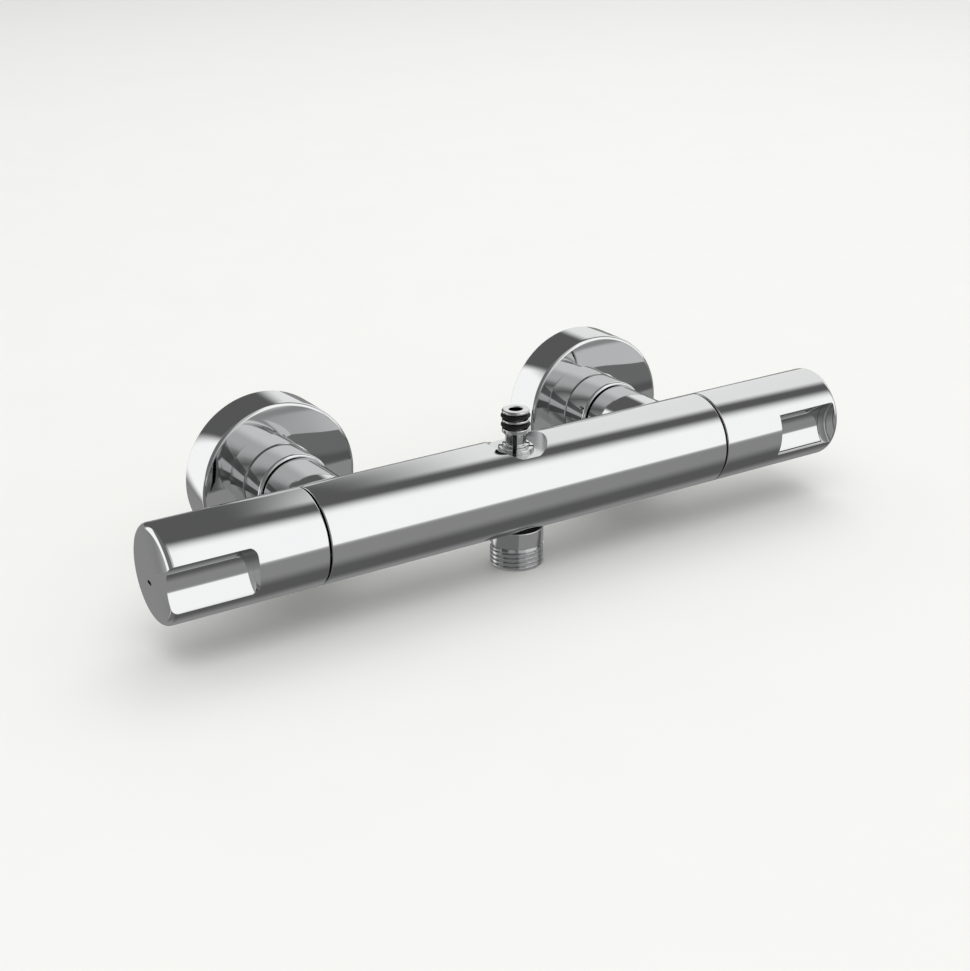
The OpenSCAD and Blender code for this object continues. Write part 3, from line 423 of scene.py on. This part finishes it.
MACHINED = material("machined chrome", (0.93, 0.935, 0.94), 1, (0.2, 0.22), 60, 0.02)
# Near-black: black paint fill in the flow handle's index mark, and painted shade in the spigot's notches and on the
# outlet's shank above its collar
BLACK_FILL_AND_PAINTED_SHADE = material("black fill and painted shade", (0.03, 0.03, 0.032), 0, (0.45, 0.6), 900, 0.1, Specular_IOR_Level=0.3)
FINISH = {
    "polished_chrome": material("polished chrome", (0.90, 0.905, 0.91), 1, (0.015, 0.05), 60, 0.02, edge=0.12),
    "turned_brass": material("turned brass", (0.76, 0.58, 0.30), 1, (0.18, 0.34), 500, 0.12, 0.08),
    "nickel_plate": material("nickel plate", (0.70, 0.68, 0.64), 1, (0.14, 0.26), 400, 0.05, 0.04),
    "spring_steel": material("spring steel", (0.60, 0.61, 0.63), 1, (0.2, 0.35), 1500, 0.1, 0.05),
    "black_rubber": material("black rubber", (0.008, 0.008, 0.009), 0, (0.35, 0.5), 1200, 0.3, 0.2,
                             Specular_IOR_Level=0.3),
    "white_ceramic": material("lapped ceramic", (0.88, 0.87, 0.84), 0, (0.12, 0.2), 800, 0.03),
    "ivory_plastic": material("ivory plastic", (0.82, 0.79, 0.70), 0, (0.35, 0.5), 700, 0.05, 0.1),
    "tan_plastic": material("glass-filled plastic", (0.52, 0.42, 0.29), 0, (0.4, 0.6), 1800, 0.2, 0.2),
    "orange_plastic": material("orange plastic", (0.80, 0.26, 0.05), 0, (0.35, 0.5), 700, 0.06, 0.1),
    "red_plastic": material("red plastic", (0.30, 0.025, 0.02), 0, (0.35, 0.5), 700, 0.06, 0.1),
    "copper_capsule": material("copper capsule", (0.72, 0.40, 0.27), 1, (0.2, 0.35), 500, 0.15, 0.05),
}

for part in frame["record"]["subparts"]:
    node = frame["nodes"][part["node"]]
    node.data.materials.clear()
    node.data.materials.append(FINISH[part["material_slot"]])


# The bar


def neck_fillet(name, x):
    """The rounded inside corner around a neck's foot, traced by a ball that rests on the bar and the neck."""
    ball, turns, steps = NECK_SWEEP, 288, 24
    reach = NECK_R + ball
    inner = NECK_R - 2
    overlap = 0.006
    to_bar = BAR_R / (BAR_R + ball)
    verts = []
    for i in range(turns):
        t = 2 * math.pi * i / turns
        across, along = math.cos(t), math.sin(t)
        c = Vector((reach * across, math.sqrt((BAR_R + ball) ** 2 - (reach * along) ** 2), reach * along))
        u = (Vector((NECK_R * across, c.y, NECK_R * along)) - c).normalized()
        v = (Vector((c.x, c.y * to_bar, c.z * to_bar)) - c).normalized()
        wide = u.angle(v)
        verts += [c + between(u, v, s / steps, wide) * (ball + overlap) for s in range(steps + 1)]
        verts.append(Vector((inner * across, BAR_R / 3, inner * along)))
        verts.append(Vector((inner * across, c.y, inner * along)))
    m = steps + 3
    faces = []
    for i in range(turns):
        a, b = i * m, (i + 1) % turns * m
        faces += [(a + k, a + (k + 1) % m, b + (k + 1) % m, b + k) for k in range(m)]
    place = Vector((x, BAR_Y, 0))
    return face_outwards(from_points(name, [(v + place) * MM for v in verts], [], faces))


def bar():
    outline = rounded([
        (0, -BODY_END, 0), (BAR_R, -BODY_END, BAR_EDGE), (BAR_R, BODY_END, BAR_EDGE), (0, BODY_END, 0),
    ])
    piece = turned("bar", outline, (0, BAR_Y, 0), RIGHTWARD, 512)
    neck_outline = rounded([
        (0, 0, 0), (NECK_R, 0, 0), (NECK_R, NECK_END - BAR_Y, 0.3), (0, NECK_END - BAR_Y, 0),
    ])
    for side in (-1, 1):
        x = side * INLET_X
        neck = turned("neck", neck_outline, (x, BAR_Y, 0), TO_WALL)
        fillet = neck_fillet("neck foot", x)
        # The fillet ends with the bar, at the handle's seam
        low, high = sorted((side * BODY_END, side * (BODY_END + 20)))
        cut(fillet, block("past the seam", (low, BAR_Y - 30, -30), (high, BAR_Y + 60, 30)))
        join(piece, neck, fillet)
        cut(piece, rod("nipple bore", 9.05, 14, (x, NECK_END - 12.3, 0), TO_WALL, 128))
    for name, r, length, (x, y, z), direction, sides in BORES:
        cut(piece, rod(name, r, length, (x, BAR_Y + y, z), direction, sides))
    for turn in HOT_WAY_TURNS:
        y, z = HOT_WAY_REACH * math.cos(math.radians(turn)), HOT_WAY_REACH * math.sin(math.radians(turn))
        cut(piece, rod("hot way", HOT_WAY_R, HOT_WAY_LENGTH, (-INLET_X, BAR_Y + y, z), RIGHTWARD, 48))
    finish_piece(piece, "cast_bar", "valve_body", "valve", "polished_chrome")
    dress(piece, MACHINED, lambda x, y, z: z > SPOT_Z - 0.05 and math.hypot(x, y) < SPOT_R + 0.02)


# Handles


def handle_blank(name, side):
    hollow = BAR_R - HANDLE_WALL
    outline = rounded([
        (0, WEB_X, 0), (hollow, WEB_X, 0.6), (hollow, HANDLE_START, 0.2), (BAR_R, HANDLE_START, BAR_EDGE),
        (BAR_R, HANDLE_END, 2.2), (0, HANDLE_END, 0),
    ], 12)
    piece = turned(name, outline, (0, BAR_Y, 0), (side, 0, 0), 512)
    return cut(
        piece,
        rod("insert socket", 5.45, 6.3, (side * (WEB_X - 1), BAR_Y, 0), (side, 0, 0), 128),
        rod("grub screw hole", 2.05, 20, (side * (WEB_X + 3), BAR_Y, -20), UPWARD, 96),
    )


def flow_handle():
    piece = handle_blank("flow handle", -1)
    past = HANDLE_END + 10
    scoop = rod("finger scoop", SCOOP_R, 36, (-SCOOP_START, SCOOP_Y, 0), LEFTWARD)
    plan = rounded([
        (-SCOOP_START, -SCOOP_HALF, SCOOP_CORNER), (-past, -SCOOP_HALF, 0),
        (-past, SCOOP_HALF, 0), (-SCOOP_START, SCOOP_HALF, SCOOP_CORNER),
    ], 16)
    combine(scoop, [slab("scoop's outline", plan, -110, -60)], "INTERSECT")
    mark_floor = -HANDLE_END + MARK_DEPTH
    low, high = BAR_Y + MARK_Y - MARK_HALF, BAR_Y + MARK_Y + MARK_HALF
    cut(
        piece,
        scoop,
        block("index mark", (-HANDLE_END - 1, low, MARK_Z - MARK_R), (mark_floor, high, MARK_Z + MARK_R)),
        rod("index mark's end", MARK_R, 3, (mark_floor, low, MARK_Z), LEFTWARD, 64),
        rod("index mark's end", MARK_R, 3, (mark_floor, high, MARK_Z), LEFTWARD, 64),
    )
    finish_piece(piece, "flow_grip", "flow_handle", "flow_control", "polished_chrome")

    def in_mark(x, y, z):
        return x < -149 and math.hypot(max(0, abs(y - MARK_Y) - MARK_HALF), z - MARK_Z) < MARK_R + 0.01

    dress(piece, BLACK_FILL_AND_PAINTED_SHADE, in_mark)


def pocket_cutter(start):
    hollow = rounded([
        (0, start, 0), (SCOOP_R, start, 0), (SCOOP_R, POCKET_END, POCKET_ROUND), (0, POCKET_END, 0),
    ], 16)
    return turned("finger pocket", hollow, (0, SCOOP_Y, 0), RIGHTWARD)


def temperature_handle():
    floor, gap = BUTTON_FLOOR, BUTTON_GAP
    half, ledge, slot = BUTTON_HALF + gap, BUTTON_LEDGE + gap, PAWL_HALF + gap
    piece = handle_blank("temperature handle", 1)
    cut(
        piece,
        pocket_cutter(POCKET_START),
        block("button window", (BUTTON_START - gap, SCOOP_Y, -half), (BUTTON_END + gap, floor, half)),
        block("ledge room", (BUTTON_START - ledge, BUTTON_BACK - 1.5, -half), (BUTTON_END + ledge, floor, half)),
        block("pawl slot", (WEB_X - 1, BUTTON_BACK - 2.6, -slot), (BUTTON_START + 0.7, floor, slot)),
        rod("spring hole", SPRING_SEAT_R, 5.2, (BUTTON_SPRING_X, floor - 1, 0), TO_WALL, 96),
    )
    finish_piece(piece, "temperature_grip", "temperature_handle", "temperature_control", "polished_chrome")


def safety_button():
    start, end = BUTTON_START - BUTTON_LEDGE, BUTTON_END + BUTTON_LEDGE
    piece = block("safety button", (BUTTON_START, SCOOP_Y, -BUTTON_HALF), (BUTTON_END, BUTTON_BACK, BUTTON_HALF))
    cut(piece, pocket_cutter(POCKET_START - 1))
    join(
        piece,
        block("ledge", (start, BUTTON_BACK - 1.2, -BUTTON_HALF), (end, BUTTON_BACK, BUTTON_HALF)),
        block("pawl", (PAWL_TIP, BUTTON_BACK - 2.3, -PAWL_HALF), (BUTTON_START + 1, BUTTON_BACK - 0.5, PAWL_HALF)),
    )
    cut(piece, rod("spring seat", SPRING_SEAT_R, 3, (BUTTON_SPRING_X, BUTTON_BACK - 1.4, 0), TO_WALL, 96))
    finish_piece(piece, "scooped_button", "safety_button", "button", "polished_chrome")


# Wall connection, modelled on the left and copied to the right


def union_nut():
    hexagon, relief = NUT_END - SPANNER_LENGTH, 15.0
    outline = rounded([
        (NUT_LIP_R, NUT_START, 0.2), (NUT_R, NUT_START, 1.2), (NUT_R, hexagon, 0.2), (relief, hexagon, 0),
        (relief, NUT_END, 0.3), (NUT_THREAD_R, NUT_END, 0.2), (NUT_THREAD_R, SHOULDER_Y, 0),
        (NUT_LIP_R, SHOULDER_Y, 0),
    ])
    piece = turned("union nut", outline, (-INLET_X, 0, 0), TO_WALL)
    for k in range(6):
        flat = block("spanner flat", (-20, hexagon, SPANNER_HALF), (20, NUT_END + 1, 20))
        cut(piece, turned_about(flat, -INLET_X, 0, math.radians(60 * k), "Y"))
    finish_pair(piece, "nut", "union_nut", ("valve", "valve"), "polished_chrome")


def rosette():
    inside = ROSETTE_R - ROSETTE_WALL
    outline = rounded([
        (ROSETTE_HOLE_R, ROSETTE_FRONT, 0.25), (ROSETTE_R, ROSETTE_FRONT, 1.5), (ROSETTE_R, 0, 0.3), (inside, 0, 0.2),
        (inside, ROSETTE_FRONT + ROSETTE_WALL, 1.5), (ROSETTE_HOLE_R, ROSETTE_FRONT + ROSETTE_WALL, 0.2),
    ], 14)
    piece = turned("rosette", outline, (-INLET_X, 0, 0), TO_WALL)
    finish_pair(piece, "cover", "rosette", ("hot_rosette", "cold_rosette"), "polished_chrome")


def inlet_nipple():
    bore, shank, sleeve, collar = 7.5, 9, 11.2, 12.2
    outline = rounded([
        (bore, NECK_END - 12, 0.3), (shank, NECK_END - 12, 0.4), (shank, NECK_END, 0), (sleeve, NECK_END, 0.2),
        (sleeve, NIPPLE_END - 2.5, 0.2), (collar, NIPPLE_END - 2.5, 0.2), (collar, NIPPLE_END, 0.4),
        (bore, NIPPLE_END, 0.3),
    ])
    piece = turned("inlet nipple", outline, (-INLET_X, 0, 0), TO_WALL, 256)
    finish_pair(piece, "nipple", "inlet_nipple", ("valve", "valve"), "nickel_plate")


def eccentric_union():
    x, z = -INLET_X, -UNION_DROP
    bore, wide, crest, length = 7.5, 12.5, 13.22, BLOCK_END - BLOCK_START
    rows = thread_rows(THREAD_R, BLOCK_END, STUB_END, 110)
    outline = [(bore, -4), (THREAD_R, -4)] + rows + [(THREAD_R - 0.7, 20), (bore, 20)]
    stub = turned("wall thread", outline, (x, 0, z), TO_WALL, 192)
    thread(stub, (x, 0, z), TO_WALL, 0.6, STUB_END, THREAD_R)
    rows = thread_rows(crest, -14.1, BLOCK_START, 40)
    outline = [(8, -15), (wide, -15)] + rows + [(crest, -7.2), (8, -7.2)]
    head = turned("union thread", outline, (x, 0, 0), TO_WALL, 192)
    thread(head, (x, 0, 0), TO_WALL, -14, BLOCK_START, crest)
    low = THREAD_R + 1.2
    piece = rod("offset", wide, length, (x, BLOCK_START, 0), TO_WALL, 192)
    join(piece, rod("low end", low, length, (x, BLOCK_START, z), TO_WALL, 192))
    sides = [(x - wide, 0), (x + wide, 0), (x + low, z), (x - low, z)]
    join(piece, slab("offset's sides", sides, BLOCK_START, BLOCK_END))
    shape_with(piece, "BEVEL", width=0.0004, segments=3, limit_method="ANGLE", angle_limit=math.radians(50))
    join(piece, head, stub)
    cut(
        piece,
        rod("union way", 8, 12.8, (x, -16, 0), TO_WALL, 128),
        rod("wall way", bore, 28, (x, -6.2, z), TO_WALL, 128),
    )
    finish_pair(piece, "wall_union", "eccentric_union", ("valve", "valve"), "turned_brass")


def rosette_gasket():
    outer = ROSETTE_R - ROSETTE_WALL - 0.05
    inner = outer - 2.2
    outline = rounded([(inner, -1, 0.2), (outer, -1, 0.1), (outer, 0, 0.1), (inner, 0, 0.2)], 4)
    piece = turned("rosette gasket", outline, (-INLET_X, 0, 0), TO_WALL, 192)
    finish_pair(piece, "cover_seal", "rosette_gasket", ("hot_rosette", "cold_rosette"), "black_rubber")


# Outlets


def hose_outlet():
    bore, shank, seal_groove, undercut, collar = 5.5, 8, 6.3, 9.38, 10.5
    outline = [(bore, -9.1), (bore, OUTLET_TIP + 0.3), (5.8, OUTLET_TIP), (THREAD_R - 0.7, OUTLET_TIP)]
    outline += thread_rows(THREAD_R, OUTLET_TIP + 0.7, OUTLET_THREAD_TOP, 112)
    outline += rounded([
        (undercut, OUTLET_THREAD_TOP, 0), (undercut, COLLAR_LOW, 0.2), (collar, COLLAR_LOW, 0.4),
        (collar, COLLAR_TOP, 0.3), (shank, COLLAR_TOP, 0),
    ], 6)
    outline += [(shank, -14), (seal_groove, -14), (seal_groove, -12), (shank, -12), (shank, -9.1)]
    piece = turned("hose outlet", outline, (0, BAR_Y, 0), UPWARD, 256)
    thread(piece, (0, BAR_Y, 0), UPWARD, OUTLET_TIP + 0.75, OUTLET_THREAD_TOP - 0.05, THREAD_R)
    deselect()
    bpy.ops.mesh.primitive_cylinder_add(vertices=6, radius=OUTLET_SOCKET / 2 / math.cos(math.pi / 6) * MM,
                                        depth=6 * MM, location=(0, BAR_Y * MM, (OUTLET_TIP + 2) * MM))
    cut(piece, settle(bpy.context.object))
    finish_piece(piece, "threaded_outlet", "hose_outlet", "valve", "polished_chrome")
    # The shank between the collar and the bar gets the near-black colour: painted shadow in the gap between the bar
    # and the collar
    dress(piece, BLACK_FILL_AND_PAINTED_SHADE, lambda x, y, z: COLLAR_TOP - 0.01 < z < -9 and math.hypot(x, y) > 6.2)


def riser_spigot():
    bore, r, neck, groove = 2.65, SPIGOT_R, SPIGOT_NECK_R, SEAL_GROOVE_R
    outline = rounded([
        (bore, 9.2, 0.2), (5, 9.2, 0.3), (5, 14.5, 0), (6.9, 14.5, 0.1), (6.9, 15.9, 0.4), (r, 15.9, 0.15),
        (r, 17.1, 0.3), (neck, 17.1, 0.3), (neck, 20.5, 0.3), (r, 21.8, 0.3), (r, 23.5, 0.4), (groove, 23.5, 0.2),
        (groove, 25.9, 0.2), (r, 25.9, 0.5), (r, 27.1, 0.5), (groove, 27.1, 0.2), (groove, 29.5, 0.2), (r, 29.5, 0.4),
        (r, SPIGOT_TOP, 0.6), (bore, SPIGOT_TOP, 0.3),
    ], 6)
    piece = turned("riser spigot", outline, (0, BAR_Y, 0), UPWARD, 256)
    for k in range(4):
        notch = block("notch", (NOTCH_R, -NOTCH_HALF, NOTCH_LOW), (8.5, NOTCH_HALF, NOTCH_HIGH))
        cut(piece, turned_about(notch, 0, BAR_Y, math.radians(NOTCH_TURN + 90 * k), "Z"))
    finish_piece(piece, "grooved_spigot", "riser_spigot", "valve", "polished_chrome")

    def in_notch(x, y, z):
        turn = (math.degrees(math.atan2(y, x)) - NOTCH_TURN + 45) % 90 - 45
        reach = math.hypot(x, y)
        across = reach * abs(math.sin(math.radians(turn)))
        return across < NOTCH_HALF + 0.01 and reach > NOTCH_R - 0.01 and NOTCH_LOW - 0.05 < z < NOTCH_HIGH + 0.05

    # The notches' faces get the near-black colour: painted shade inside the notches
    dress(piece, BLACK_FILL_AND_PAINTED_SHADE, in_notch)


def spigot_seals():
    deselect()
    bpy.ops.mesh.primitive_torus_add(location=(0, BAR_Y * MM, SEAL_Z * MM), major_segments=128, minor_segments=32,
                                     major_radius=5.02 * MM, minor_radius=0.703 * MM)
    piece = settle(bpy.context.object)
    shape_with(piece, "ARRAY", count=2, use_relative_offset=False, use_constant_offset=True,
               constant_offset_displace=(0, 0, SEAL_STEP * MM))
    finish_piece(piece, "spigot_seals", "spigot_o_rings", "valve", "black_rubber")


# Springs


def spring(name, node, axis, r, wire, turns):
    """A coil wound where its node lies, along the given axis."""
    low, high = (Vector(corner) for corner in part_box(node))
    start = (low + high) / 2
    end = start.copy()
    k = "XYZ".index(axis)
    start[k], end[k] = low[k], high[k]
    steps = round(48 * turns)
    deselect()
    bpy.ops.mesh.primitive_circle_add(vertices=16, radius=wire * MM, rotation=(math.pi / 2, 0, 0),
                                      location=(r * MM, 0, wire * MM))
    piece = settle(bpy.context.object)
    shape_with(piece, "SCREW", angle=2 * math.pi * turns, screw_offset=(end - start).length - 2 * wire * MM,
               steps=steps, render_steps=steps)
    face_outwards(piece, close=True)
    finish_piece(stand(piece, start, end - start), name, node, None, "spring_steel", 60)
    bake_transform(piece)


bar()
flow_handle()
temperature_handle()
safety_button()
union_nut()
rosette()
inlet_nipple()
eccentric_union()
rosette_gasket()
hose_outlet()
riser_spigot()
spigot_seals()
spring("hot_check_coil", "left_check_valve_spring", "Y", 2.6, 0.2, 3.5)
spring("cold_check_coil", "right_check_valve_spring", "Y", 2.6, 0.2, 3.5)
spring("button_coil", "safety_button_spring", "Y", 2.2, 0.35, 6)
spring("return_coil", "return_spring", "X", 6.8, 0.7, 4.5)


# Studio


# The panels that the polished metal sees in a dim room. Heights are in degrees, from straight back below (-180) over
# straight ahead (0) to straight back above (180). Each row: name, lower edge, upper edge, how soft each of the two is,
# the direction's X from which the panel fades in and where it is full, and its brightness. A panel covers those
# before it.
ROOM = 0.1
PANELS = [
    ("floor in front", -40, -10, 30, 10, -0.5, -0.3, 0.25),
    ("floor behind", -180, -120, 0, 30, -0.5, -0.3, 0.25),
    ("front light, left", -5, 60, 10, 30, -0.5, -0.2, 0.5),
    ("front light", -5, 60, 5, 30, 0, 0.3, 1),
    ("ceiling", 120, 180, 20, 0, 0.35, 0.5, 0.8),
]
FAR_LEFT_WALL = 0.15
FAR_LEFT_WINDOW = 1
# How far the even light takes over in what is seen by way of a second polished surface
SECOND_SHARE = 0.6

# The studio's own places are in metres
FLOOR_Z = -0.0327
CAMERA_PLACE = (-0.344870, -0.599355, 0.255359)
CAMERA_YAW, CAMERA_PITCH, CAMERA_ROLL = 0.55794, 0.38467, -0.014947
CAMERA_LENS = 1762.93
CAMERA_SENSOR = 36
IMAGE_HEIGHT = 971


def studio_world():
    """A dim room with a few soft panels, which only polished metal sees. All else sees a plain pale sky."""
    world = bpy.data.worlds.new("studio")
    bpy.context.scene.world = world
    world.use_nodes = True
    nodes, link = world.node_tree.nodes, world.node_tree.links.new
    nodes.clear()

    def put(kind, sources, **settings):
        node = nodes.new(kind)
        for name, value in settings.items():
            setattr(node, name, value)
        for socket, source in sources.items():
            if isinstance(source, (int, float)):
                node.inputs[socket].default_value = source
            else:
                link(source, node.inputs[socket])
        return node

    def fit(value, low, high, to_low=0, to_high=1, kind="LINEAR"):
        node = put("ShaderNodeMapRange", {"Value": value, "From Min": low, "From Max": high, "To Min": to_low,
                                          "To Max": to_high}, interpolation_type=kind)
        return node.outputs["Result"]

    def calc(what, a, b):
        return put("ShaderNodeMath", {0: a, 1: b}, operation=what).outputs["Value"]

    def blend(share, a, b):
        return put("ShaderNodeMix", {0: share, 2: a, 3: b}).outputs[0]

    def product(*values):
        total = values[0]
        for value in values[1:]:
            total = calc("MULTIPLY", total, value)
        return total

    def soft_step(value, start, end):
        return fit(value, start, end, kind="SMOOTHSTEP")

    place = put("ShaderNodeTexCoord", {})
    x, y, z = put("ShaderNodeSeparateXYZ", {"Vector": place.outputs["Generated"]}).outputs
    height = calc("MULTIPLY", calc("ARCTAN2", z, calc("MULTIPLY", y, -1)), 180 / math.pi)
    # The front light hangs aslant: it is lower on the right
    height = calc("ADD", height, product(fit(height, 0, 40), fit(x, 0.25, 0.75, 0, 20)))
    light = ROOM
    for _, low, high, low_soft, high_soft, from_x, full_x, brightness in PANELS:
        masks = [soft_step(x, from_x, full_x)]
        if low > -180:
            masks.append(soft_step(height, low - low_soft, low))
        if high < 180:
            masks.append(calc("SUBTRACT", 1, soft_step(height, high, high + high_soft)))
        light = blend(product(*masks), light, brightness)
    # Far to the left stands a wall with a window behind
    window = soft_step(calc("ABSOLUTE", height, 0), 140, 155)
    light = blend(soft_step(x, -0.35, -0.45), light, blend(window, FAR_LEFT_WALL, FAR_LEFT_WINDOW))
    # What is seen by way of a second polished surface is more even, and darker below and towards the left
    path = put("ShaderNodeLightPath", {})
    depth = path.outputs["Glossy Depth"]
    twice = product(calc("GREATER_THAN", depth, 1.5), SECOND_SHARE)
    dark_side = fit(calc("ABSOLUTE", calc("ADD", x, 0.5), 0), 0, 0.15, 0.2, 1)
    even = product(fit(height, -50, -5, 0.1, 0.4), fit(depth, 2, 3, 1, 0.2), dark_side)
    light = blend(twice, light, even)
    plain = put("ShaderNodeBackground", {"Strength": 0.9})
    plain.inputs["Color"].default_value = (0.86, 0.86, 0.85, 1)
    seen = put("ShaderNodeBackground", {"Color": light, "Strength": 1})
    mix = put("ShaderNodeMixShader", {"Fac": path.outputs["Is Glossy Ray"], 1: plain.outputs["Background"],
                                      2: seen.outputs["Background"]})
    put("ShaderNodeOutputWorld", {"Surface": mix.outputs["Shader"]})


def studio_floor():
    deselect()
    bpy.ops.mesh.primitive_plane_add(size=12, location=(0, 0, FLOOR_Z))
    floor = bpy.context.object
    floor.name = "floor"
    floor.data.materials.append(material("plain floor", (0.80, 0.80, 0.785), 0, (0.7, 0.8), 40, 0.01))
    floor.visible_glossy = False


def lamp(name, place, size, power):
    """A soft light that points at the middle of the bar."""
    light = bpy.data.lights.new(name, "AREA")
    light.shape = "RECTANGLE"
    light.size, light.size_y = size
    light.energy = power
    holder = bpy.data.objects.new(name, light)
    holder.location = place
    to_bar = Vector((0, BAR_Y * MM, 0)) - Vector(place)
    holder.rotation_euler = to_bar.to_track_quat("-Z", "Y").to_euler()
    holder.visible_glossy = False
    bpy.context.collection.objects.link(holder)


def camera():
    data = bpy.data.cameras.new("camera")
    holder = bpy.data.objects.new("camera", data)
    bpy.context.collection.objects.link(holder)
    yaw, pitch, roll = CAMERA_YAW, CAMERA_PITCH, CAMERA_ROLL
    ahead = Vector((math.sin(yaw) * math.cos(pitch), math.cos(yaw) * math.cos(pitch), -math.sin(pitch)))
    right = Vector((math.cos(yaw), -math.sin(yaw), 0))
    up = right.cross(ahead)
    right, up = math.cos(roll) * right + math.sin(roll) * up, math.cos(roll) * up - math.sin(roll) * right
    turn = Matrix((right, up, -ahead)).transposed()
    holder.matrix_world = Matrix.Translation(CAMERA_PLACE) @ turn.to_4x4()
    data.sensor_width = CAMERA_SENSOR
    data.lens = CAMERA_LENS * CAMERA_SENSOR / IMAGE_HEIGHT
    data.clip_start = 0.01
    bpy.context.scene.camera = holder


studio_world()
studio_floor()
lamp("front softbox", (-0.5, -1.0, 2.4), (2.4, 2.0), 24)
lamp("fill", (0.9, 0.9, 1.8), (1.6, 1.6), 12)
camera()
bpy.context.scene.view_settings.view_transform = "Standard"
